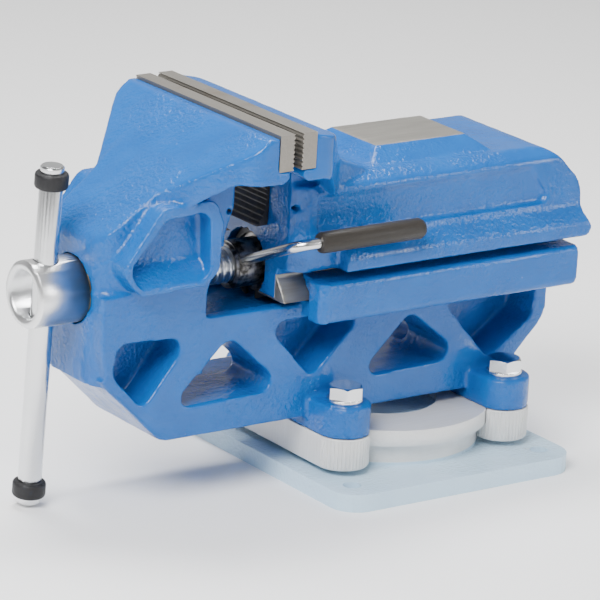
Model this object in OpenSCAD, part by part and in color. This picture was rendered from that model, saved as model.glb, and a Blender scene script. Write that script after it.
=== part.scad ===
// Bench vise with a swivel base, a fixed front jaw and a rear jaw that slides on dovetail rails.
// Frame: origin at the underside of the base on the swivel axis, +Z up, +X to the rear.

/* [Jaws] */
// Width of the jaws
jaw_w = 125; // [115:1:130]
// Height of a jaw plate
plate_h = 18; // [16:1:20]
// Thickness of a jaw plate
plate_t = 8.4; // [7.5:0.1:8.6]
// Opening between the jaw plates at rest
jaw_gap = 4.4; // [4.2:0.1:5]
// Height of the top of the jaw plates
jaw_top = 192.7; // [192:0.1:194]
// Place of the front jaw's gripping face along X
front_face_x = -104.8; // [-105:0.1:-104.4]

/* [Spindle] */
// Height of the spindle axis
spindle_z = 110.1; // [109.8:0.1:110.4]
// Outside diameter of the spindle thread
screw_d = 18; // [16:0.5:18]
// Place of the rear end of the spindle along X
screw_end_x = 66; // [60:1:72]
// Outside diameter of the hollow spindle head
head_d = 33.2; // [32:0.2:34]
// Inside diameter of the hollow spindle head
head_bore_d = 23.6; // [22:0.2:24.4]
// Place of the front end of the spindle head along X
head_front_x = -214; // [-216:1:-213]

/* [Handle bar] */
// Diameter of the handle bar
bar_d = 11.6; // [11:0.1:12]
// Length of the handle bar
bar_len = 172.5; // [150:0.5:173]
// Distance from the spindle axis to the lower end of the bar
bar_drop = 108.6; // [95:0.1:108.6]
// Lean of the handle bar about the spindle
bar_lean = 3.5; // [0:0.5:6]
// Place of the handle bar along X
bar_x = -202.5; // [-203:0.1:-201]

/* [Body] */
// Distance between the outer faces of the truss walls
truss_w = 56; // [54:1:58]
// Distance between the outer faces of the rails
rail_w = 100; // [98:1:102]
// Spacing of the clamp bolts along X
bolt_dx = 99.5; // [99:0.5:101]
// Spacing of the clamp bolts along Y
bolt_dy = 80.2; // [80:0.2:82]
// Diameter of the clamp bolts
bolt_d = 10; // [9:0.5:10]

/* [Base] */
// Length of the base plate along X
base_l = 144; // [142:1:150]
// Width of the base plate along Y
base_w = 154; // [152:1:160]
// Thickness of the base plate
base_t = 9; // [8:0.5:9]
// Diameter of the holes for the bench bolts
bench_hole_d = 9.2; // [8.4:0.2:10]
// Diameter of the swivel disc
disc_d = 115; // [112:0.5:115]

/* [Hidden] */
$fn = 64;

paint = "#0a74c6";
pale_paint = "#c4def2";
pale_iron = "#d8d8d6";
ground_steel = "#a8a298";
zinc = "#d4d6d8";
dark_steel = "#4a4a4c";
rubber = "#1c1c1e";
bronze = "#b08b4f";

gap = 0.3;            // clearance between bodies that move past each other
fit = 0.08;           // radial clearance of a running fit
eps = 0.1;            // overshoot of a cut

// jaws
front_back_x = front_face_x - plate_t;
rear_face_x = front_face_x + jaw_gap;
rear_back_x = rear_face_x + plate_t;
plate_z = jaw_top - plate_h;
jaw_half = jaw_w / 2;
wing_top = jaw_top - 1.6;
shelf_z = plate_z - 6.2;
shelf_depth = 6.5;    // reach of the shelf under a jaw plate
jaw_screw_y = 40;
jaw_screw_z = plate_z + plate_h / 2;
jaw_screw_d = 8;
jaw_screw_depth = 8.5;
tooth = 2.25;         // pitch of the plate serrations
tooth_depth = 0.8;
pipe_half = 17;
pipe_z0 = 133.4;
pipe_h = 27;
pipe_t = 12;
pipe_bow = 5;         // hollow of the toothed face
pipe_pin_d = 3;
rear_pipe_set = 5.2;  // extra setback of the rear pipe jaw
pipe_lip = 2.7;       // setback of a pipe jaw behind the plate's gripping face

// body
truss_half = truss_w / 2;
truss_web = 14;       // thickness of the web in the truss
rail_half = rail_w / 2;
flange_z = 35;
flange_top_z = 50.4;
lug_z = 29;
lug_top_z = 44.8;
lug_r = 13.4;
floor_z = 97.4;       // sliding floor between the dovetails
rail_z = 89.4;
rail_top_z = 110;
rail_x0 = -71;
rail_x1 = 85;
bed_z = 94.5;
post_x0 = -187;       // front face of the body
post_x1 = -127;       // rear face of the front post
trough_half = 20;
trough_z = 91;
dove_top = 27;        // half width of the male dovetail at the rail top
dove_bottom = 35.8;

// spindle
shank_d = 25;
bush_d = 32;
bush_x0 = -184;
bush_x1 = -136;
collar_x0 = post_x1 + gap;
collar_len = 8;
collar_d = 29;

// slider
slide_x0 = -86;
nut_bore_d = 34;
nut_d = 26;
nut_x0 = -77;
nut_x1 = -45;
ledge_z = 114.4;
deck_z = 160;
anvil_z = 167.4;

// quick release
lever_x = -93.8;
lever_reach = 60;     // distance of the grip from the spindle axis
lever_lift = 23.6;    // angle of the lever above the horizontal
lever_d = 5.5;
lever_bend = 8;
collar_front_x = -98;

// base
disc_top_z = lug_z - gap;
disc_t = 8.2;
neck_d = disc_d - 9;
clamp_z0 = 12.3;
clamp_z1 = 28.5;
lip_z = disc_top_z - disc_t - gap;
washer_t = 2;

// Outline with rounded corners: each point is [x, y, radius], and a radius of 0 keeps it sharp
function unit(v) = v / norm(v);
function corner(a, b, c, r) = r == 0 ? [b] :
  let (u = unit(a - b), v = unit(c - b), half = acos(u * v) / 2, m = b + unit(u + v) * r / sin(half),
    s = b + u * r / tan(half) - m, e = b + v * r / tan(half) - m, a0 = atan2(s[1], s[0]),
    turn = atan2(s[0] * e[1] - s[1] * e[0], s * e), steps = max(2, ceil(abs(turn) / 18)))
  [for (i = [0:steps]) m + r * [cos(a0 + turn * i / steps), sin(a0 + turn * i / steps)]];
function flat(p) = [p[0], p[1]];
function rounded(p) = [for (i = [0:len(p) - 1])
  each corner(flat(p[(i + len(p) - 1) % len(p)]), flat(p[i]), flat(p[(i + 1) % len(p)]), p[i][2])];

module outline(p) { polygon(rounded(p)); }
module along_x(x0, x1) { translate([x0, 0, 0]) rotate([90, 0, 90]) linear_extrude(x1 - x0) children(); }
module along_y(y0, y1) { translate([0, y1, 0]) rotate([90, 0, 0]) linear_extrude(y1 - y0) children(); }
module along_z(z0, z1) { translate([0, 0, z0]) linear_extrude(z1 - z0) children(); }
module both() { children(); mirror([0, 1, 0]) children(); }
module box(a, b) { translate(a) cube(b - a); }
module rod_x(x0, x1, d, y = 0, z = spindle_z) {
  translate([x0, y, z]) rotate([0, 90, 0]) cylinder(h = x1 - x0, d = d);
}
module tube_x(x0, x1, d, bore) {
  difference() {
    rod_x(x0, x1, d);
    rod_x(x0 - eps, x1 + eps, bore);
  }
}
// Solid of revolution about the spindle axis; each point is [x, radius]
module turned(points) {
  translate([0, 0, spindle_z]) rotate([0, 90, 0])
    rotate_extrude() polygon([for (p = points) [p[1], p[0]]]);
}
module at_bolts() {
  for (x = [-1, 1], y = [-1, 1]) translate([x * bolt_dx / 2, y * bolt_dy / 2, 0]) children();
}

// ---- swivel base ----
module swivel_base() color(pale_paint) {
  corner_r = 14;
  hole_x = 58.5;
  hole_y = 61.9;
  recess_d = 62;
  recess = 4;
  difference() {
    union() {
      along_z(0, base_t) outline([for (c = [[1, 1], [-1, 1], [-1, -1], [1, -1]])
        [c[0] * base_l / 2, c[1] * base_w / 2, corner_r]]);
      cylinder(h = disc_top_z - disc_t + eps, d = neck_d, $fn = 96);
      translate([0, 0, disc_top_z - disc_t]) cylinder(h = disc_t, d = disc_d, $fn = 96);
    }
    for (x = [-1, 1], y = [-1, 1]) translate([x * hole_x, y * hole_y, -eps])
      cylinder(h = base_t + 2 * eps, d = bench_hole_d);
    translate([0, 0, disc_top_z - recess]) cylinder(h = recess + eps, d = recess_d);
  }
}

// ---- body ----
module truss_outline() {
  outline([[-150, flange_z, 6], [63, flange_z, 4], [66, 49, 10], [84, 67, 12], [rail_x1, 90, 0],
    [rail_x1, floor_z, 0], [rail_x0, floor_z, 0], [rail_x0, bed_z, 0], [post_x1, bed_z, 0],
    [post_x1, 112, 0], [post_x0, 112, 0], [-185.5, 82, 8], [-182, 66, 12]]);
}
module front_window() {
  outline([[-147, flange_top_z, 5], [-77, flange_top_z + 1.2, 6], [-112, 83, 7]]);
}
module rear_window() { outline([[-34, flange_top_z, 5], [33.5, flange_top_z + 2, 6], [-2.5, 80.5, 6]]); }
module front_pocket() { outline([[-177, 88, 6], [-179, 72, 6], [-161, 53, 5], [-135, 86, 6]]); }
module middle_pocket() { outline([[-91, 86.5, 5], [-62, 55, 5], [-30, 86.5, 5]]); }
module rear_pocket() { outline([[15, 86.5, 5], [49, 49, 5], [75, 68, 6], [77, 86.5, 5]]); }
// Far side: one long recess joins the windows, so the ribs stand on the near side of the web only
module far_recess() {
  outline([[-147, flange_top_z, 5], [33.5, 52.4, 6], [12, 86.5, 8], [-125, 86.5, 8]]);
}
module truss() {
  along_y(-truss_half, truss_half) difference() {
    truss_outline();
    front_window();
    rear_window();
  }
}
// Hollows in the truss that leave a web down the middle
module truss_hollows() {
  both() along_y(-truss_half - eps, -truss_web / 2) {
    front_pocket();
    rear_pocket();
  }
  along_y(-truss_half - eps, -truss_web / 2) middle_pocket();
  along_y(truss_web / 2, truss_half + eps) far_recess();
}
module foot_bars() {
  for (x = [-1, 1]) translate([x * bolt_dx / 2, 0, 0]) {
    box([-lug_r, -bolt_dy / 2, lug_z], [lug_r, bolt_dy / 2, lug_top_z]);
    for (y = [-1, 1]) translate([0, y * bolt_dy / 2, lug_z]) cylinder(h = lug_top_z - lug_z, r = lug_r);
  }
}
module rails() {
  both() along_x(rail_x0, rail_x1) outline([[-rail_half, rail_z, 3], [-rail_half, rail_top_z, 2.5],
    [-dove_top - gap, rail_top_z, 0], [-dove_bottom - 2 * gap, floor_z, 0], [-trough_half, floor_z, 0],
    [-trough_half, trough_z, 0], [-truss_half + 2, trough_z, 0], [-truss_half - 2, rail_z, 0]]);
}
// Rounded ends that carry the rails forward into the lip of the bed
module rail_noses() {
  both() along_z(rail_z, rail_top_z) outline([[rail_x0 + 1, -rail_half, 0], [rail_x0 + 1, -38, 0],
    [rail_x0 - 4, -38, 2], [rail_x0 - 4, -rail_half, 4]]);
}
module front_post() {
  half = truss_half - 1;
  along_z(66, 113) outline([[post_x0, -half, 12], [post_x1 + 0.5, -half, 0], [post_x1 + 0.5, half, 0],
    [post_x0, half, 12]]);
  along_y(-half, half)
    outline([[-185, 70, 0], [-182.5, 66, 10], [-150, 36, 4], [-144, 46, 0], [-168, 74, 0]]);
}
// Boxes on both sides of the front jaw, each with a deep pocket whose floor slopes up inward
module side_boxes() {
  half = 38;
  pocket = 12;
  both() difference() {
    along_y(-half, 0) outline([[-161.5, 156, 7], [-131, 157.5, 7], [-125.8, 146, 6], [-127, 121, 5],
      [-135, 114.5, 4], [-172, 113.5, 8], [-183, 127, 8]]);
    intersection() {
      along_y(-half - 1, -half + pocket) outline([[-158.5, 150, 5], [-134, 151.5, 6], [-132.4, 121, 6],
        [-140, 116, 5], [-171, 116, 8], [-178.5, 128, 6]]);
      along_x(-190, -110) polygon([[-half - 1, 115.5], [-half + pocket, 129],
        [-half + pocket, 160], [-half - 1, 160]]);
    }
  }
}
module slope_band() {
  intersection() {
    along_y(-jaw_half, jaw_half) outline([[front_back_x, wing_top, 0], [-118.5, wing_top, 3],
      [post_x0, 139, 10], [post_x0, 106, 0], [post_x1, 106, 0], [-120, 130, 0], [front_back_x, 150, 0]]);
    along_z(100, jaw_top) outline([[front_back_x, -28, 0], [-150, -28, 0], [post_x0, -25, 12],
      [post_x0, 25, 12], [-150, 28, 0], [front_back_x, 28, 0]]);
  }
}
module front_wing() {
  tip_x = front_back_x + shelf_depth;
  intersection() {
    along_y(-jaw_half, jaw_half) outline([[front_back_x, wing_top, 0], [-118.5, wing_top, 3],
      [-162, 157.5, 4], [-150, 152, 4], [-132, shelf_z, 6], [-110, shelf_z, 3], [tip_x, shelf_z + 2.4, 1.5],
      [tip_x, plate_z - gap, 1], [front_back_x, plate_z - gap, 0]]);
    along_z(140, jaw_top) outline([[tip_x + 1, -jaw_half, 2], [-125, -jaw_half, 9], [-161, -24, 8],
      [-161, 24, 8], [-125, jaw_half, 9], [tip_x + 1, jaw_half, 2]]);
  }
}
module front_pipe_seat() {
  box([post_x1, -21.5, spindle_z + 16.5], [front_back_x, 21.5, shelf_z + 4]);
}
module pipe_recess(back_x, toward) {
  far_x = back_x + toward * 30;
  box([min(back_x, far_x), -pipe_half, pipe_z0], [max(back_x, far_x), pipe_half, pipe_z0 + pipe_h]);
}
front_pipe_x = front_face_x - pipe_lip - pipe_t;
rear_pipe_x = rear_face_x + pipe_lip + rear_pipe_set + pipe_t;
module pipe_pin(x, len) {
  translate([x, 0, pipe_z0 + pipe_h / 2]) rotate([90, 0, 0])
    cylinder(h = len, d = pipe_pin_d, center = true);
}
module body_casting() color(paint) {
  difference() {
    union() {
      truss();
      foot_bars();
      rails();
      rail_noses();
      front_post();
      side_boxes();
      slope_band();
      front_wing();
      front_pipe_seat();
    }
    truss_hollows();
    rod_x(post_x0 - eps, bush_x0, head_d + 2 * gap);
    rod_x(bush_x0 - eps, bush_x1, bush_d);
    rod_x(bush_x1 - eps, -100, shank_d + 2 * gap);
    box([post_x1, -trough_half, trough_z], [rail_x0 + 2, trough_half, spindle_z + 16.4]);
    box([rail_x0, -trough_half, trough_z], [rail_x1 + 2, trough_half, rail_top_z]);
    at_bolts() translate([0, 0, lug_z - eps]) cylinder(h = 40, d = bolt_d + 1);
    at_bolts() translate([0, 0, lug_top_z]) cylinder(h = 12, d = 21);
    for (y = [-jaw_screw_y, jaw_screw_y])
      rod_x(front_back_x - jaw_screw_depth, front_back_x + eps, jaw_screw_d, y, jaw_screw_z);
    pipe_recess(front_pipe_x, 1);
    pipe_pin(front_pipe_x + 3, 60);
  }
}

// ---- base clamps and their fasteners ----
// A bar that hooks under the rim of the disc; side is 1 for the rear bar and -1 for the front bar
module clamp_block(side) {
  difference() {
    translate([side * bolt_dx / 2, 0, 0]) {
      box([-lug_r, -bolt_dy / 2, clamp_z0], [lug_r, bolt_dy / 2, clamp_z1]);
      for (y = [-1, 1]) translate([0, y * bolt_dy / 2, clamp_z0])
        cylinder(h = clamp_z1 - clamp_z0, r = lug_r);
    }
    translate([0, 0, lip_z]) cylinder(h = 20, d = disc_d + 2 * gap, $fn = 96);
    translate([0, 0, clamp_z0 - eps]) cylinder(h = 20, d = neck_d + 2 * gap, $fn = 96);
    for (y = [-1, 1]) translate([side * bolt_dx / 2, y * bolt_dy / 2, clamp_z0 - eps])
      cylinder(h = 30, d = bolt_d);
  }
}
module front_clamp_block() color(pale_iron) clamp_block(-1);
module rear_clamp_block() color(pale_iron) clamp_block(1);
module clamp_bolts() color(zinc) {
  flats = 16;
  head_h = 6.4;
  chamfer = 1.2;
  at_bolts() {
    translate([0, 0, clamp_z0 + 1]) cylinder(h = lug_top_z + washer_t - clamp_z0 - 1 + eps, d = bolt_d);
    translate([0, 0, lug_top_z + washer_t]) intersection() {
      cylinder(h = head_h, d = flats / cos(30), $fn = 6);
      rotate_extrude() polygon([[0, 0], [flats, 0], [flats, head_h - chamfer * 3],
        [flats / 2 - 0.4, head_h], [0, head_h]]);
    }
  }
}
module clamp_washers() color(zinc) {
  at_bolts() translate([0, 0, lug_top_z]) difference() {
    cylinder(h = washer_t, d = 18.4);
    translate([0, 0, -eps]) cylinder(h = washer_t + 2 * eps, d = bolt_d + 0.4);
  }
}

// ---- jaw plates ----
// Side view of a plate: its back is at x = 0 and its serrated face at x = plate_t
module plate_outline() {
  teeth = floor(plate_h / tooth);
  polygon(concat([[0, 0]], [for (i = [0:teeth - 1]) each [[plate_t, i * tooth],
    [plate_t, (i + 0.3) * tooth], [plate_t - tooth_depth, (i + 0.65) * tooth]]],
    [[plate_t, teeth * tooth], [plate_t, plate_h], [0, plate_h]]));
}
module jaw_plate() {
  head_bore = 14.4;
  head_depth = 5;
  difference() {
    along_y(-jaw_half, jaw_half) plate_outline();
    for (y = [-1, 1]) translate([0, y * jaw_screw_y, plate_h / 2]) rotate([0, 90, 0]) {
      translate([0, 0, -eps]) cylinder(h = 20, d = jaw_screw_d + 0.6);
      translate([0, 0, plate_t - head_depth]) cylinder(h = 20, d = head_bore);
    }
  }
}
// Socket head screw along X, with its head at x = 0 and its shank towards -X
module jaw_screw() {
  head_h = 4;
  rotate([0, -90, 0]) difference() {
    union() {
      cylinder(h = head_h, d = 13.6);
      translate([0, 0, head_h - eps])
        cylinder(h = plate_t + jaw_screw_depth - head_h - 1.5, d = jaw_screw_d);
    }
    translate([0, 0, -eps]) cylinder(h = 2.6, d = 6 / cos(30), $fn = 6);
  }
}
module front_jaw_plate() color(ground_steel) translate([front_back_x, 0, plate_z]) jaw_plate();
module rear_jaw_plate() color(ground_steel) translate([rear_back_x, 0, plate_z])
  mirror([1, 0, 0]) jaw_plate();
module front_jaw_screws() color(dark_steel) for (y = [-1, 1])
  translate([front_face_x - 1, y * jaw_screw_y, jaw_screw_z]) jaw_screw();
module rear_jaw_screws() color(dark_steel) for (y = [-1, 1])
  translate([rear_face_x + 1, y * jaw_screw_y, jaw_screw_z]) mirror([1, 0, 0]) jaw_screw();

// ---- pipe jaws ----
// Insert with a hollow toothed face towards +X and its back at x = 0
function hollow(t) = pipe_t - pipe_bow * (1 - pow(2 * t - 1, 2));
module pipe_jaw() {
  teeth = 10;
  step = pipe_h / teeth;
  difference() {
    along_y(-pipe_half + 0.05, pipe_half - 0.05) polygon(concat([[0, 0]], [for (i = [0:teeth - 1]) each
      [[hollow(i / teeth), i * step], [hollow((i + 0.6) / teeth) - 1.1, (i + 0.6) * step]]],
      [[pipe_t, pipe_h], [0, pipe_h]]));
    translate([3, 0, pipe_h / 2]) rotate([90, 0, 0]) cylinder(h = 60, d = pipe_pin_d, center = true);
  }
}
module front_pipe_jaw() color(dark_steel) translate([front_pipe_x, 0, pipe_z0]) pipe_jaw();
module rear_pipe_jaw() color(dark_steel) translate([rear_pipe_x, 0, pipe_z0])
  mirror([1, 0, 0]) pipe_jaw();
module front_pipe_jaw_pin() color(zinc) pipe_pin(front_pipe_x + 3, 42);
module rear_pipe_jaw_pin() color(zinc) pipe_pin(rear_pipe_x - 3, 42);

// ---- spindle ----
module spindle_bush() color(bronze) tube_x(bush_x0, bush_x1, bush_d, shank_d + 2 * fit);
module spindle() color(zinc) {
  head_end_x = bush_x0 - washer_t - 2 * gap;
  r = head_d / 2;
  bore_r = head_bore_d / 2;
  cross_hole_d = bar_d + 1;
  difference() {
    turned([[head_end_x - 6, 0], [head_end_x - 6, bore_r], [head_front_x + 1.5, bore_r],
      [head_front_x, bore_r + 1.5], [head_front_x, r - 1.5], [head_front_x + 1.5, r], [head_end_x, r],
      [head_end_x, shank_d / 2], [post_x1 - 4, shank_d / 2], [post_x1 - 4, shank_d / 2 - 4],
      [post_x1 + collar_len + 2, shank_d / 2 - 4], [post_x1 + collar_len + 2, screw_d / 2],
      [screw_end_x - 3, screw_d / 2], [screw_end_x, screw_d / 2 - 3], [screw_end_x, 0]]);
    translate([bar_x, 0, spindle_z]) rotate([bar_lean, 0, 0])
      cylinder(h = 60, d = cross_hole_d, center = true);
    translate([collar_x0 + collar_len / 2, 0, spindle_z]) cylinder(h = 60, d = 4, center = true);
  }
}
module thrust_washer() color(dark_steel)
  tube_x(bush_x0 - washer_t - gap, bush_x0 - gap, head_d - 0.6, shank_d + 0.2);
module lock_collar() color(dark_steel) {
  difference() {
    tube_x(collar_x0, collar_x0 + collar_len, collar_d, shank_d - 8);
    translate([collar_x0 + collar_len / 2, 0, spindle_z]) cylinder(h = 60, d = 4, center = true);
  }
}
module collar_pin() color(zinc)
  translate([collar_x0 + collar_len / 2, 0, spindle_z])
    cylinder(h = collar_d - 1.5, d = 4, center = true);

// ---- handle bar ----
ring_d = 16.4;
ring_h = 8;
bar_tip = 3.4;        // bar that shows past each rubber ring
module on_bar() {
  translate([bar_x, 0, spindle_z]) rotate([bar_lean, 0, 0]) translate([0, 0, -bar_drop]) children();
}
module handle_bar() color(zinc) on_bar() {
  r = bar_d / 2;
  neck_r = r - 1;
  rotate_extrude() polygon([[0, 0], [r - 0.8, 0], [r, 0.8], [r, bar_tip], [neck_r, bar_tip],
    [neck_r, bar_tip + ring_h], [r, bar_tip + ring_h], [r, bar_len - bar_tip - ring_h],
    [neck_r, bar_len - bar_tip - ring_h], [neck_r, bar_len - bar_tip], [r, bar_len - bar_tip],
    [r, bar_len - 0.8], [r - 0.8, bar_len], [0, bar_len]]);
}
module bar_ring() {
  r = ring_d / 2;
  bore_r = bar_d / 2 - 1;
  rotate_extrude()
    polygon([[bore_r, 0], [r - 1, 0], [r, 1], [r, ring_h - 1], [r - 1, ring_h], [bore_r, ring_h]]);
}
module upper_bar_ring() color(rubber) on_bar() translate([0, 0, bar_len - bar_tip - ring_h]) bar_ring();
module lower_bar_ring() color(rubber) on_bar() translate([0, 0, bar_tip]) bar_ring();

// ---- sliding jaw ----
module slider_profile() {
  outline([[slide_x0, floor_z + gap, 0], [87, floor_z + gap, 0], [90, 114, 1], [93, 119, 2.5],
    [89, 128, 6], [91, 140, 16], [72, deck_z, 16], [slide_x0, deck_z, 0]]);
}
module slider_beam() {
  intersection() {
    along_y(-rail_half, rail_half) slider_profile();
    union() {
      both() along_x(slide_x0, 95) outline([[0, floor_z + gap, 0], [-dove_bottom, floor_z + gap, 0],
        [-dove_top, rail_top_z, 0], [-dove_top, ledge_z + 1, 0], [-35, ledge_z + 1, 0],
        [-35, deck_z - 6, 0], [-28, deck_z, 0], [0, deck_z, 0]]);
      both() along_x(-79, 95) outline([[-20, ledge_z, 0], [-41.5, ledge_z, 3], [-43.5, 131, 3],
        [-41, 156, 4], [-33, deck_z, 6], [0, deck_z, 0], [0, ledge_z, 0]]);
      both() along_x(-60, 95) outline([[-20, ledge_z, 0], [-rail_half, ledge_z, 1.5],
        [-rail_half, 121.5, 3], [-42, 132.5, 3], [-20, 132, 0]]);
    }
  }
}
module slider_corners() {
  both() along_z(ledge_z, deck_z - 2) outline([[slide_x0 + 0.5, -30, 0], [slide_x0 + 0.5, -36.5, 4],
    [-78, -42, 4], [-70, -38, 0], [-70, -30, 0]]);
}
module side_panel() {
  outline([[-74, 152.5, 4], [57, 152.5, 3], [71, 133, 4], [-74, 133, 4]]);
}
module rear_wing() {
  tip_x = rear_back_x - shelf_depth;
  intersection() {
    along_y(-jaw_half, jaw_half) outline([[rear_back_x, wing_top, 0], [-77, wing_top - 2.5, 5],
      [-60, 169, 14], [-36, deck_z, 10], [-36, 150, 0], [-64, 150, 6], [-78, shelf_z - 3, 8],
      [-86, shelf_z, 3],
      [tip_x + 3, shelf_z, 2], [tip_x, shelf_z + 2.4, 1.5], [tip_x, plate_z - gap, 1],
      [rear_back_x, plate_z - gap, 0]]);
    along_z(145, jaw_top) outline([[tip_x - 1, -jaw_half, 2], [-82, -jaw_half, 8], [-62, -40, 14],
      [-35, -32, 8], [-35, 32, 8], [-62, 40, 14], [-82, jaw_half, 8], [tip_x - 1, jaw_half, 2]]);
  }
}
module rear_column() {
  box([slide_x0, -35, ledge_z], [-60, 35, shelf_z + 4]);
  box([-84, -38, 140], [-50, 38, 157]);
}
module anvil() {
  intersection() {
    along_y(-40, 40)
      outline([[-36, deck_z - 2, 0], [-24, anvil_z, 2], [31, anvil_z, 2], [44, deck_z - 2, 0]]);
    along_x(-60, 60)
      outline([[-32, deck_z - 2, 0], [-18.5, anvil_z, 2], [18.5, anvil_z, 2], [32, deck_z - 2, 0]]);
  }
}
module sliding_jaw_casting() color(paint) {
  difference() {
    union() {
      slider_beam();
      slider_corners();
      rear_wing();
      rear_column();
      anvil();
    }
    both() along_y(-60, -40) side_panel();
    rod_x(slide_x0 - eps, nut_x1, nut_bore_d);
    rod_x(nut_x0 - 4.9, nut_x0 - 3.4, nut_bore_d + 4);
    rod_x(nut_x1 - eps, 78, screw_d + 6);
    box([nut_x1 + 12, -22, floor_z - 1], [78, 22, 142]);
    for (y = [-jaw_screw_y, jaw_screw_y])
      rod_x(rear_back_x - eps, rear_back_x + jaw_screw_depth, jaw_screw_d, y, jaw_screw_z);
    pipe_recess(rear_pipe_x, -1);
    pipe_pin(rear_pipe_x - 3, 80);
  }
}

// ---- split nut and quick release ----
module nut_half() {
  intersection() {
    tube_x(nut_x0, nut_x1 - gap, nut_d, screw_d + 2 * fit);
    box([nut_x0 - 1, -nut_d, spindle_z + gap / 2], [nut_x1 + 1, nut_d, spindle_z + nut_d]);
  }
}
module nut_upper_half() color(bronze) nut_half();
module nut_lower_half() color(bronze) translate([0, 0, 2 * spindle_z]) mirror([0, 0, 1]) nut_half();
module nut_retaining_ring() color(dark_steel) {
  difference() {
    tube_x(nut_x0 - 4.9, nut_x0 - 3.4, nut_bore_d + 3.6, nut_d + 2);
    box([nut_x0 - 10, -4, spindle_z - 30], [nut_x0 + 10, 4, spindle_z]);
  }
}
module release_collar() color(zinc) {
  r = 12;
  flange_r = 15.3;
  bore_r = screw_d / 2 + gap;
  difference() {
    turned([[collar_front_x, bore_r], [collar_front_x, r - 1.6], [collar_front_x + 1, r - 0.6],
      [collar_front_x + 1, r], [nut_x0 - 3.2, r], [nut_x0 - 3.2, flange_r],
      [nut_x0 - gap, flange_r], [nut_x0 - gap, bore_r]]);
    lever_hole();
  }
}
// Places its children with +Z along the lever's arm
module on_lever() { translate([lever_x, 0, spindle_z]) rotate([90 - lever_lift, 0, 0]) children(); }
module lever_hole() { on_lever() translate([0, 0, 9.6]) cylinder(h = 20, d = lever_d - 0.5); }
module lever_rod() color(zinc) {
  on_lever() {
    translate([0, 0, 9.8]) cylinder(h = 2.6, d = lever_d - 0.5);
    translate([0, 0, 12.4]) cylinder(h = lever_reach - lever_bend - 12.4, d = lever_d);
    translate([lever_bend, 0, lever_reach - lever_bend]) rotate([90, 0, 0])
      rotate([0, 0, 90]) rotate_extrude(angle = 90) translate([lever_bend, 0]) circle(d = lever_d);
    translate([lever_bend, 0, lever_reach]) rotate([0, 90, 0]) cylinder(h = 52, d = lever_d);
  }
}
module lever_grip() color(rubber) {
  len = 62.5;
  r = 5.25;
  start = 12;
  on_lever() translate([start, 0, lever_reach]) rotate([0, 90, 0]) difference() {
    rotate_extrude() polygon([[0, 0], [r - 1.4, 0], [r - 0.4, 0.5], [r, 1.8], [r, len - 3],
      [r - 1, len - 1], [r - 2.6, len], [0, len]]);
    translate([0, 0, -eps]) cylinder(h = 48.2 + eps, d = lever_d);
  }
}

swivel_base();
body_casting();
front_clamp_block();
rear_clamp_block();
clamp_bolts();
clamp_washers();
front_jaw_plate();
front_jaw_screws();
front_pipe_jaw();
front_pipe_jaw_pin();
spindle_bush();
spindle();
thrust_washer();
lock_collar();
collar_pin();
handle_bar();
upper_bar_ring();
lower_bar_ring();
sliding_jaw_casting();
rear_jaw_plate();
rear_jaw_screws();
rear_pipe_jaw();
rear_pipe_jaw_pin();
nut_retaining_ring();
release_collar();
lever_rod();
lever_grip();
nut_upper_half();
nut_lower_half();
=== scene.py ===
"""Bench vise with a swivel base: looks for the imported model, in metres."""

import math

import bmesh
import bpy
from mathutils import Matrix, Vector, noise


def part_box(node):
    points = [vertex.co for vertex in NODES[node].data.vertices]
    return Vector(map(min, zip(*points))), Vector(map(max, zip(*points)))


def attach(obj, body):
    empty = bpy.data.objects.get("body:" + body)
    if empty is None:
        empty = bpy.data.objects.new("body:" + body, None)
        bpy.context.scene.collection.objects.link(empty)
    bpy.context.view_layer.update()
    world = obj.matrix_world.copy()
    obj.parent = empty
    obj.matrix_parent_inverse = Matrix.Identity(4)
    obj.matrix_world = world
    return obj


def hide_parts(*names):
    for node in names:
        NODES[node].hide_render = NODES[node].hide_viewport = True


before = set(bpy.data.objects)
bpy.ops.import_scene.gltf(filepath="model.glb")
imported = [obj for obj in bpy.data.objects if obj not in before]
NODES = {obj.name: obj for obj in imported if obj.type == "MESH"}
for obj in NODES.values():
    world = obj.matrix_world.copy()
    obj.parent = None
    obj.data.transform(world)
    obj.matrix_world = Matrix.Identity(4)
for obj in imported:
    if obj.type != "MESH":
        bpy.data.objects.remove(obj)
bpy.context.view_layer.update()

MM = 0.001

# Places that the looks depend on, all worked out from the frame
BASE_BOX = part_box("swivel_base")
SCREW_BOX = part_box("spindle")
SLIDER_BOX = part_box("sliding_jaw_casting")
SPINDLE_Z = (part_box("spindle_bush")[0].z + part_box("spindle_bush")[1].z) / 2


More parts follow.
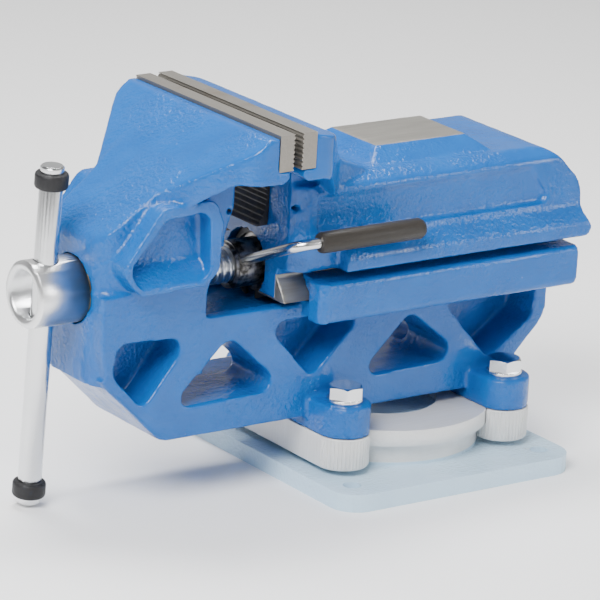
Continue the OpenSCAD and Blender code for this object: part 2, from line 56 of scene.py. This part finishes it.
# ---------------------------------------------------------------- node helpers
class Graph:
    """Short names for the shader nodes that the materials use."""

    def __init__(self, name):
        self.mat = bpy.data.materials.new(name)
        self.mat.use_nodes = True
        self.tree = self.mat.node_tree
        self.shader = self.tree.nodes["Principled BSDF"]
        self.coords = self.add("ShaderNodeTexCoord").outputs["Object"]

    def add(self, kind, **settings):
        made = self.tree.nodes.new(kind)
        for key, value in settings.items():
            setattr(made, key, value)
        return made

    def link(self, source, target):
        if hasattr(source, "links"):
            self.tree.links.new(source, target)
        else:
            target.default_value = source

    def maths(self, operation, a, b=0.0, clamp=False):
        made = self.add("ShaderNodeMath", operation=operation, use_clamp=clamp)
        self.link(a, made.inputs[0])
        self.link(b, made.inputs[1])
        return made.outputs[0]

    def scaled(self, scale):
        made = self.add("ShaderNodeMapping")
        self.link(self.coords, made.inputs["Vector"])
        made.inputs["Scale"].default_value = scale
        return made.outputs[0]

    def noise(self, scale, detail=2.0, stretch=None, rough=0.5):
        made = self.add("ShaderNodeTexNoise")
        self.link(self.scaled(stretch) if stretch else self.coords, made.inputs["Vector"])
        made.inputs["Scale"].default_value = scale
        made.inputs["Detail"].default_value = detail
        made.inputs["Roughness"].default_value = rough
        return made.outputs["Fac"]

    def cells(self, scale):
        made = self.add("ShaderNodeTexVoronoi", feature="SMOOTH_F1")
        self.link(self.coords, made.inputs["Vector"])
        made.inputs["Scale"].default_value = scale
        return made.outputs["Distance"]

    def ramp(self, value, low, high):
        made = self.add("ShaderNodeMapRange", interpolation_type="SMOOTHSTEP")
        self.link(value, made.inputs["Value"])
        made.inputs["From Min"].default_value = low
        made.inputs["From Max"].default_value = high
        return made.outputs["Result"]

    def blend(self, amount, low, high):
        """Blend of two numbers or two colours."""
        colour = isinstance(low, tuple) or isinstance(high, tuple)
        colour = colour or getattr(low, "type", "") == "RGBA"
        made = self.add("ShaderNodeMix", data_type="RGBA" if colour else "FLOAT")
        self.link(amount, made.inputs["Factor"])
        slots = (6, 7) if colour else (2, 3)
        for side, index in zip((low, high), slots):
            self.link((*side, 1.0) if isinstance(side, tuple) else side, made.inputs[index])
        return made.outputs[2 if colour else 0]

    def place(self):
        made = self.add("ShaderNodeSeparateXYZ")
        self.link(self.coords, made.inputs[0])
        return made.outputs

    def edges(self, low, high):
        """1 on sharp outer edges and 0 on flats: worn edges, and on zinc a painted edge highlight."""
        geometry = self.add("ShaderNodeNewGeometry")
        return self.ramp(geometry.outputs["Pointiness"], low, high)

    def bump(self, height, distance, strength=1.0, under=None):
        made = self.add("ShaderNodeBump")
        self.link(height, made.inputs["Height"])
        made.inputs["Distance"].default_value = distance
        made.inputs["Strength"].default_value = strength
        if under is not None:
            self.link(under, made.inputs["Normal"])
        return made.outputs[0]

    def put(self, **sockets):
        for key, value in sockets.items():
            target = self.shader.inputs[key.replace("_", " ")]
            self.link((*value, 1.0) if isinstance(value, tuple) else value, target)
        return self.mat


# ---------------------------------------------------------------- materials
CAST_DEPTH = 0.65 * MM


IRON_TONES = ((0.24, 0.228, 0.205), (0.42, 0.405, 0.37))
DISC_TONES = ((0.62, 0.62, 0.61), (0.80, 0.80, 0.79))
BLUE_DEEP = (0.0, 0.078, 0.31)
BLUE_BRIGHT = (0.0, 0.118, 0.43)


def enamel(name, deep, bright, bare_mask=None, metal_tones=IRON_TONES, metallic=0.8):
    """Gloss enamel over a rough casting, worn on its edges.

    Machined metal shows bare where the mask is 1.
    """
    g = Graph(name)
    patches = g.ramp(g.noise(26, 3), 0.35, 0.62)
    stipple = g.noise(430, 3, rough=0.55)
    pits = g.cells(620)
    speck = g.noise(340, 4, rough=0.7)
    colour = g.blend(g.noise(60, 4), deep, bright)
    worn = g.maths("MULTIPLY", g.edges(0.535, 0.6), g.ramp(speck, 0.56, 0.68))
    colour = g.blend(worn, colour, (0.16, 0.13, 0.11))
    rough = g.blend(g.noise(90, 3), 0.17, 0.30)
    rough = g.blend(worn, rough, 0.6)
    depth = g.blend(patches, 0.2, 1.0)
    cast = g.maths("MULTIPLY", g.maths("ADD", stipple, g.maths("MULTIPLY", pits, 0.5)), depth)
    metal = 0.0
    if bare_mask is not None:
        bare = bare_mask(g)
        tool = g.noise(90, 5, stretch=(0.35, 5.0, 5.0), rough=0.65)
        metal_colour = g.blend(tool, *metal_tones)
        colour = g.blend(bare, colour, metal_colour)
        rough = g.blend(bare, rough, g.blend(tool, 0.30, 0.46))
        metal = g.maths("MULTIPLY", bare, metallic)
        cast = g.blend(bare, cast, g.maths("MULTIPLY", tool, 0.25))
        g.put(Metallic=metal)
    normal = g.bump(cast, CAST_DEPTH)
    return g.put(Base_Color=colour, Roughness=rough, Normal=normal, Specular_IOR_Level=0.42)


def inside(g, value, low, high, soft=0.0003):
    """1 where value lies between low and high."""
    above = g.ramp(value, low - soft, low + soft)
    below = g.ramp(value, high + soft, high - soft)
    return g.maths("MULTIPLY", above, below)


def slider_bare(g):
    """Machined faces of the slider: the dovetail and the anvil's top."""
    place = g.place()
    side = g.maths("ABSOLUTE", place["Y"])
    low = SLIDER_BOX[0].z
    height = inside(g, place["Z"], low - 0.01, low + 13.2 * MM)
    dovetail = g.maths("MULTIPLY", height, inside(g, side, 0.0262, 0.05))
    floor = g.ramp(place["Z"], low + 1.4 * MM, low + 0.9 * MM)
    top = g.ramp(place["Z"], ANVIL_Z - 0.55 * MM, ANVIL_Z - 0.25 * MM)
    anvil = g.maths("MULTIPLY", top, inside(g, place["X"], -0.032, 0.040))
    return g.maths("MAXIMUM", g.maths("MAXIMUM", dovetail, floor), anvil)


def base_bare(g):
    """Machined faces of the base: the swivel disc outside its painted recess."""
    place = g.place()
    square = g.maths("ADD", g.maths("POWER", place["X"], 2.0), g.maths("POWER", place["Y"], 2.0))
    radius = g.maths("SQRT", square)
    ring = g.ramp(place["Z"], PLATE_TOP + 1.2 * MM, PLATE_TOP + 1.8 * MM)
    outer = g.ramp(radius, 0.0308, 0.0314)
    return g.maths("MULTIPLY", ring, outer)


def ground_steel():
    g = Graph("ground_steel")
    grind = g.noise(120, 6, stretch=(9.0, 0.5, 9.0), rough=0.7)
    fine = g.noise(1500, 3)
    stain = g.noise(45, 4)
    colour = g.blend(grind, (0.19, 0.178, 0.158), (0.32, 0.30, 0.268))
    colour = g.blend(g.ramp(stain, 0.55, 0.75), colour, (0.22, 0.19, 0.155))
    height = g.maths("ADD", grind, g.maths("MULTIPLY", fine, 0.4))
    return g.put(Base_Color=colour, Metallic=0.8, Roughness=g.blend(grind, 0.34, 0.5),
                 Normal=g.bump(height, 0.00012))


def zinc(name="zinc_plate", turned=(1.0, 1.0, 1.0), rough=(0.14, 0.26)):
    g = Graph(name)
    lathe = g.noise(260, 5, stretch=turned, rough=0.6)
    cloud = g.noise(70, 3)
    colour = g.blend(cloud, (0.66, 0.67, 0.68), (0.80, 0.81, 0.82))
    # painted highlight: every sharp edge of the zinc is lightened to near white as an edge highlight
    colour = g.blend(g.edges(0.55, 0.62), colour, (0.88, 0.88, 0.88))
    return g.put(Base_Color=colour, Metallic=1.0, Roughness=g.blend(lathe, *rough),
                 Normal=g.bump(lathe, 0.00006))


def dark_steel():
    g = Graph("dark_steel")
    scale = g.noise(300, 4)
    colour = g.blend(scale, (0.02, 0.02, 0.022), (0.075, 0.075, 0.08))
    colour = g.blend(g.edges(0.54, 0.6), colour, (0.22, 0.21, 0.2))
    return g.put(Base_Color=colour, Metallic=0.7, Roughness=g.blend(scale, 0.35, 0.55),
                 Normal=g.bump(scale, 0.00015))


def oiled():
    """Bare steel with dark oil and thread dust on it."""
    g = Graph("oiled_steel")
    film = g.noise(160, 5, rough=0.65)
    colour = g.blend(g.ramp(film, 0.4, 0.62), (0.035, 0.033, 0.032), (0.30, 0.29, 0.28))
    return g.put(Base_Color=colour, Metallic=0.9, Roughness=g.blend(film, 0.2, 0.42),
                 Normal=g.bump(film, 0.0002))


def bronze():
    g = Graph("bronze")
    lathe = g.noise(300, 4, stretch=(6.0, 1.0, 1.0))
    colour = g.blend(lathe, (0.42, 0.26, 0.10), (0.62, 0.42, 0.18))
    return g.put(Base_Color=colour, Metallic=1.0, Roughness=g.blend(lathe, 0.25, 0.42),
                 Normal=g.bump(lathe, 0.00008))


def rubber():
    g = Graph("ring_rubber")
    grain = g.noise(900, 3)
    colour = g.blend(g.noise(150, 3), (0.009, 0.009, 0.01), (0.022, 0.022, 0.024))
    return g.put(Base_Color=colour, Roughness=g.blend(grain, 0.42, 0.6), Specular_IOR_Level=0.3,
                 Normal=g.bump(grain, 0.00012))


def grip_plastic():
    g = Graph("grip_plastic")
    scuff = g.noise(220, 6, stretch=(0.3, 2.0, 2.0), rough=0.7)
    colour = g.blend(scuff, (0.012, 0.011, 0.01), (0.04, 0.034, 0.028))
    rubbed = g.maths("MULTIPLY", g.edges(0.53, 0.6), g.ramp(g.noise(300), 0.5, 0.6))
    colour = g.blend(rubbed, colour, (0.14, 0.12, 0.1))
    return g.put(Base_Color=colour, Roughness=g.blend(scuff, 0.36, 0.55), Specular_IOR_Level=0.28,
                 Normal=g.bump(scuff, 0.00015))


def pale_iron():
    g = Graph("machined_iron")
    saw = g.noise(140, 5, stretch=(6.0, 6.0, 0.4), rough=0.6)
    colour = g.blend(saw, (0.60, 0.60, 0.59), (0.78, 0.78, 0.77))
    return g.put(Base_Color=colour, Metallic=0.25, Roughness=g.blend(saw, 0.38, 0.55),
                 Normal=g.bump(saw, 0.0002))


def set_material(obj, material):
    obj.data.materials.clear()
    obj.data.materials.append(material)


# ---------------------------------------------------------------- mesh helpers
def new_object(name, mesh):
    made = bpy.data.objects.new(name, mesh)
    bpy.context.scene.collection.objects.link(made)
    return made


def bake_modifiers(obj):
    """Turns what the modifiers make into the object's own mesh."""
    graph = bpy.context.evaluated_depsgraph_get()
    made = bpy.data.meshes.new_from_object(obj.evaluated_get(graph))
    obj.modifiers.clear()
    old = obj.data
    obj.data = made
    bpy.data.meshes.remove(old)


def smooth_shade(obj, angle=None):
    for face in obj.data.polygons:
        face.use_smooth = True
    if angle is not None:
        obj.data.set_sharp_from_angle(angle=math.radians(angle))


def cast_from(node, name, voxel, rounds, crisp):
    """A copy of a casting with the rounded edges and fillets that a foundry leaves.

    crisp(point) is 1 where a face was machined after casting and stays as it is.
    """
    made = new_object(name, NODES[node].data.copy())
    remesh = made.modifiers.new("skin", "REMESH")
    remesh.mode = "VOXEL"
    remesh.voxel_size = voxel
    bake_modifiers(made)
    group = made.vertex_groups.new(name="cast")
    for vertex in made.data.vertices:
        weight = 1.0 - crisp(vertex.co)
        if weight > 0.0:
            group.add([vertex.index], weight, "REPLACE")
    soften = made.modifiers.new("soften", "SMOOTH")
    soften.factor = 0.5
    soften.iterations = rounds
    soften.vertex_group = "cast"
    bake_modifiers(made)
    made.vertex_groups.clear()
    smooth_shade(made)
    return made


def skin_waves(obj, height, wavelength, crisp):
    """Low waves of the cast skin, in the mesh itself."""
    mesh = obj.data
    normals = [v.normal.copy() for v in mesh.vertices]
    for vertex, normal in zip(mesh.vertices, normals):
        wave = noise.noise(vertex.co / wavelength)
        vertex.co += normal * wave * height * (1.0 - crisp(vertex.co))
    mesh.update()


def set_back(obj, depth_at):
    """Moves the surface into the metal by depth_at(point), so that sliding faces stay clear."""
    mesh = obj.data
    normals = [v.normal.copy() for v in mesh.vertices]
    for vertex, normal in zip(mesh.vertices, normals):
        vertex.co -= normal * depth_at(vertex.co)
    mesh.update()


def step(value, low, high):
    t = min(1.0, max(0.0, (value - low) / (high - low)))
    return t * t * (3 - 2 * t)


# ---------------------------------------------------------------- castings
PLATE_TOP = 9.0 * MM
ANVIL_Z = 167.4 * MM


def body_machined(point):
    """1 on the machined faces of the fixed casting."""
    x, y, z = (c / MM for c in point)
    radius = math.hypot(y, z - SPINDLE_Z / MM)
    bore = (1 - step(radius, 17.5, 19.0)) * (1 - step(x, -128, -120))
    guide = step(x, -78, -73) * step(z, 88.6, 90.2) * (1 - step(abs(y), 37, 39))
    rail_top = step(x, -78, -73) * step(z, 108.6, 109.4) * 0.75
    seat = step(z, 165.8, 167.0) * step(x, -121, -116)
    ways = step(x, -107.0, -105.0) * step(z, 133, 134) * (1 - step(abs(y), 17, 18))
    foot = 1 - step(z, 29.2, 30.0)
    bolt = 1 - step(math.hypot(abs(x) - 49.75, abs(y) - 40.1), 10.0, 11.5)
    return max(bore, guide, rail_top, seat, foot, ways, bolt * step(z, 29, 30))


def slider_machined(point):
    """1 on the machined faces of the sliding casting."""
    x, y, z = (c / MM for c in point)
    radius = math.hypot(y, z - SPINDLE_Z / MM)
    bore = (1 - step(radius, 18.5, 19.5)) * (1 - step(x, -45, -42))
    guide = (1 - step(z, 111.5, 113.5))
    seat = step(z, 166.5, 167.5) * (1 - step(x, -87.5, -85.5))
    along = step(x, -22, -18) * (1 - step(x, 26, 29))
    anvil = step(z, 166.6, 167.2) * along * (1 - step(abs(y), 14.5, 17.5))
    return max(bore, guide, seat, anvil)


blue_body = enamel("blue_enamel", BLUE_DEEP, BLUE_BRIGHT)
blue_slider = enamel("blue_enamel_slider", BLUE_DEEP, BLUE_BRIGHT, slider_bare)
pale_base = enamel("pale_enamel", (0.47, 0.66, 0.82), (0.56, 0.74, 0.88), base_bare, DISC_TONES, 0.2)
iron = pale_iron()
plate_steel = ground_steel()
zinc_mat = zinc()
bar_zinc = zinc("bar_zinc", (6.0, 6.0, 0.35), (0.12, 0.22))
thread_zinc = zinc("thread_zinc", (1.0, 3.0, 3.0), (0.24, 0.4))
black_steel = dark_steel()
oiled_steel = oiled()
bush_bronze = bronze()
ring_mat = rubber()
grip_mat = grip_plastic()

body_shell = cast_from("body_casting", "body_shell", 1.0 * MM, 10, body_machined)
slider_shell = cast_from("sliding_jaw_casting", "slider_shell", 1.0 * MM, 7, slider_machined)
for shell, machined in ((body_shell, body_machined), (slider_shell, slider_machined)):
    skin_waves(shell, 0.14 * MM, 7 * MM, machined)


def body_guide_depth(point):
    """Extra clearance at the foot of the rails' dovetail, where the skin rounds the sharp corner."""
    x, y, z = (c / MM for c in point)
    along = step(x, -76, -73)
    across = step(abs(y), 31, 33) * (1 - step(abs(y), 38, 39))
    corner = across * step(z, 95, 96) * (1 - step(z, 100, 103))
    return 0.8 * MM * along * corner


def slider_guide_depth(point):
    """The same at the lower edge of the slider's dovetail."""
    x, y, z = (c / MM for c in point)
    return 0.6 * MM * step(abs(y), 32, 34.5) * (1 - step(z, 99, 102)) * (1 - step(abs(y), 38, 39))


set_back(body_shell, body_guide_depth)
set_back(slider_shell, slider_guide_depth)
for shell, node, body, material in (
        (body_shell, "body_casting", "vise_body", blue_body),
        (slider_shell, "sliding_jaw_casting", "slider", blue_slider)):
    set_material(shell, material)
    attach(shell, body)
    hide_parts(node)


# ---------------------------------------------------------------- spindle
def thread_mesh(mesh, first, last, outer, root, pitch, around=48, rings_per_turn=16):
    """Adds a trapezoidal screw thread along X to the mesh, right-handed."""
    count = int((last - first) / pitch * rings_per_turn)
    rings = []
    for i in range(count + 1):
        x = first + (last - first) * i / count
        fade = min(step(x, first, first + pitch), 1 - step(x, last - pitch, last))
        ring = []
        for k in range(around):
            turn = k / around
            phase = (x / pitch - turn) % 1.0
            tooth = min(1.0, max(0.0, (0.5 - abs(phase - 0.5)) * 5.2 - 0.85))
            radius = root + (outer - root) * (tooth if fade > 0 else 0) * fade
            angle = turn * math.tau
            spot = (x, radius * math.cos(angle), SPINDLE_Z + radius * math.sin(angle))
            ring.append(mesh.verts.new(spot))
        rings.append(ring)
    for low, high in zip(rings, rings[1:]):
        for k in range(around):
            n = (k + 1) % around
            mesh.faces.new((low[k], high[k], high[n], low[n]))
    mesh.faces.new(rings[0])
    mesh.faces.new(list(reversed(rings[-1])))


def make_spindle():
    """The turned head and shank, with a real helical thread in place of the plain one."""
    mesh = bmesh.new()
    mesh.from_mesh(NODES["spindle"].data)
    bmesh.ops.remove_doubles(mesh, verts=mesh.verts, dist=0.001 * MM)
    cut = -117.4 * MM
    everything = mesh.verts[:] + mesh.edges[:] + mesh.faces[:]
    cut_edges = bmesh.ops.bisect_plane(mesh, geom=everything, plane_co=(cut, 0, 0),
                                       plane_no=(1, 0, 0), clear_outer=True)
    rim = [e for e in cut_edges["geom_cut"] if isinstance(e, bmesh.types.BMEdge)]
    bmesh.ops.holes_fill(mesh, edges=rim)
    thread_mesh(mesh, cut - 0.4 * MM, SCREW_BOX[1].x - 0.2 * MM, 9.0 * MM, 6.75 * MM, 4.0 * MM)
    bmesh.ops.recalc_face_normals(mesh, faces=mesh.faces)
    data = bpy.data.meshes.new("spindle_threaded")
    mesh.to_mesh(data)
    mesh.free()
    made = new_object("spindle_threaded", data)
    smooth_shade(made, 32)
    set_material(made, thread_zinc)
    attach(made, "screw")
    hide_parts("spindle")


make_spindle()


# ---------------------------------------------------------------- other pieces
def soften_edges(node, width, segments=3, angle=32):
    """A small radius on a CAD piece's sharp edges."""
    obj = NODES[node]
    weld = obj.modifiers.new("weld", "WELD")
    weld.merge_threshold = 0.002 * MM
    bevel = obj.modifiers.new("edge_radius", "BEVEL")
    bevel.width = width
    bevel.segments = segments
    bevel.limit_method = "ANGLE"
    bevel.angle_limit = math.radians(angle)
    bevel.harden_normals = True
    bevel.use_clamp_overlap = True


def clamp_flutes(node, name):
    """Fine upright ribs round the rounded ends of a clamp bar."""
    low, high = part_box(node)
    centre_x = (low.x + high.x) / 2
    if abs(centre_x) < BOLT_X:
        centre_x = math.copysign(BOLT_X, centre_x)
    mesh = bmesh.new()
    for side in (-1, 1):
        for k in range(FLUTES):
            angle = math.pi * (k + 0.5) / FLUTES
            x = centre_x + LUG_RADIUS * math.cos(angle)
            y = side * (BOLT_Y + LUG_RADIUS * math.sin(angle))
            spot = Matrix.Translation((x, y, (low.z + high.z) / 2))
            bmesh.ops.create_cone(mesh, cap_ends=True, segments=8, radius1=0.55 * MM, radius2=0.55 * MM,
                                  depth=high.z - low.z - 1.6 * MM, matrix=spot)
    data = bpy.data.meshes.new(name)
    mesh.to_mesh(data)
    mesh.free()
    made = new_object(name, data)
    smooth_shade(made, 60)
    set_material(made, iron)
    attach(made, "vise_body")


BOLT_X = 49.75 * MM
BOLT_Y = 40.1 * MM
LUG_RADIUS = 13.25 * MM
FLUTES = 22
clamp_flutes("front_clamp_block", "front_clamp_flutes")
clamp_flutes("rear_clamp_block", "rear_clamp_flutes")

LOOKS = {
    "swivel_base": (pale_base, 0.9 * MM),
    "front_clamp_block": (iron, 0.7 * MM),
    "rear_clamp_block": (iron, 0.7 * MM),
    "clamp_bolts": (zinc_mat, 0.35 * MM),
    "clamp_washers": (zinc_mat, 0.25 * MM),
    "front_jaw_plate": (plate_steel, 0.35 * MM),
    "rear_jaw_plate": (plate_steel, 0.35 * MM),
    "front_jaw_screws": (black_steel, 0.15 * MM),
    "rear_jaw_screws": (black_steel, 0.15 * MM),
    "front_pipe_jaw": (black_steel, 0.3 * MM),
    "rear_pipe_jaw": (black_steel, 0.3 * MM),
    "front_pipe_jaw_pin": (zinc_mat, 0.2 * MM),
    "rear_pipe_jaw_pin": (zinc_mat, 0.2 * MM),
    "spindle_bush": (bush_bronze, 0.2 * MM),
    "thrust_washer": (bush_bronze, 0.15 * MM),
    "lock_collar": (zinc_mat, 0.4 * MM),
    "collar_pin": (black_steel, 0.15 * MM),
    "handle_bar": (bar_zinc, 0.5 * MM),
    "upper_bar_ring": (ring_mat, 1.2 * MM),
    "lower_bar_ring": (ring_mat, 1.2 * MM),
    "nut_retaining_ring": (black_steel, 0.2 * MM),
    "release_collar": (oiled_steel, 0.6 * MM),
    "lever_rod": (zinc_mat, 0.2 * MM),
    "lever_grip": (grip_mat, 0.8 * MM),
    "nut_upper_half": (bush_bronze, 0.3 * MM),
    "nut_lower_half": (bush_bronze, 0.3 * MM),
}
for node, (material, width) in LOOKS.items():
    set_material(NODES[node], material)
    soften_edges(node, width)


# ---------------------------------------------------------------- stage, light and camera
def make_floor():
    mesh = bpy.data.meshes.new("floor")
    half = 6.0
    level = BASE_BOX[0].z
    corners = [(-half, -half, level), (half, -half, level), (half, half, level), (-half, half, level)]
    mesh.from_pydata(corners, [], [(0, 1, 2, 3)])
    floor = new_object("floor", mesh)
    g = Graph("floor_white")
    set_material(floor, g.put(Base_Color=(0.93, 0.93, 0.93), Roughness=0.9, Specular_IOR_Level=0.1))


def area_light(name, place, aim, size, power, colour=(1, 1, 1)):
    lamp = bpy.data.lights.new(name, "AREA")
    lamp.shape = "RECTANGLE"
    lamp.size, lamp.size_y = size
    lamp.energy = power
    lamp.color = colour
    made = bpy.data.objects.new(name, lamp)
    bpy.context.scene.collection.objects.link(made)
    made.location = place
    made.rotation_euler = (Vector(aim) - Vector(place)).to_track_quat("-Z", "Y").to_euler()


def make_world():
    world = bpy.data.worlds.new("studio")
    world.use_nodes = True
    tree = world.node_tree
    place = tree.nodes.new("ShaderNodeTexCoord")
    stripes = tree.nodes.new("ShaderNodeTexNoise")
    stripes.inputs["Scale"].default_value = 1.3
    shade = tree.nodes.new("ShaderNodeMapRange")
    shade.inputs["From Min"].default_value = 0.42
    shade.inputs["From Max"].default_value = 0.55
    shade.inputs["To Min"].default_value = 0.35
    tree.links.new(place.outputs["Generated"], stripes.inputs["Vector"])
    tree.links.new(stripes.outputs["Fac"], shade.inputs["Value"])
    tree.links.new(shade.outputs["Result"], tree.nodes["Background"].inputs["Color"])
    world.node_tree.nodes["Background"].inputs["Strength"].default_value = 0.65
    bpy.context.scene.world = world


def make_camera():
    azimuth, elevation, roll = (math.radians(a) for a in (-36.24, 17.34, 3.3))
    back = Vector((math.sin(azimuth) * math.cos(elevation), -math.cos(azimuth) * math.cos(elevation),
                   math.sin(elevation)))
    level = Vector((math.cos(azimuth), math.sin(azimuth), 0))
    upward = back.cross(level)
    right = level * math.cos(roll) + upward * math.sin(roll)
    up = upward * math.cos(roll) - level * math.sin(roll)
    lens = bpy.data.cameras.new("camera")
    lens.lens = 252
    lens.sensor_width = 36
    lens.clip_end = 100
    camera = bpy.data.objects.new("camera", lens)
    bpy.context.scene.collection.objects.link(camera)
    turn = Matrix((right, up, back)).transposed().to_4x4()
    turn.translation = Vector((0, 0, 0.100)) + back * 2.115 - right * 0.04249 - up * 0.02041
    camera.matrix_world = turn
    bpy.context.scene.camera = camera


make_floor()
make_world()
area_light("key", (-0.9, -0.5, 1.1), (0, 0, 0.08), (0.8, 0.6), 32)
area_light("top", (0.1, 0.4, 1.3), (0, 0, 0.1), (0.9, 0.4), 24)
area_light("side", (1.0, -1.1, 0.5), (0, 0, 0.08), (0.3, 0.6), 7)
make_camera()
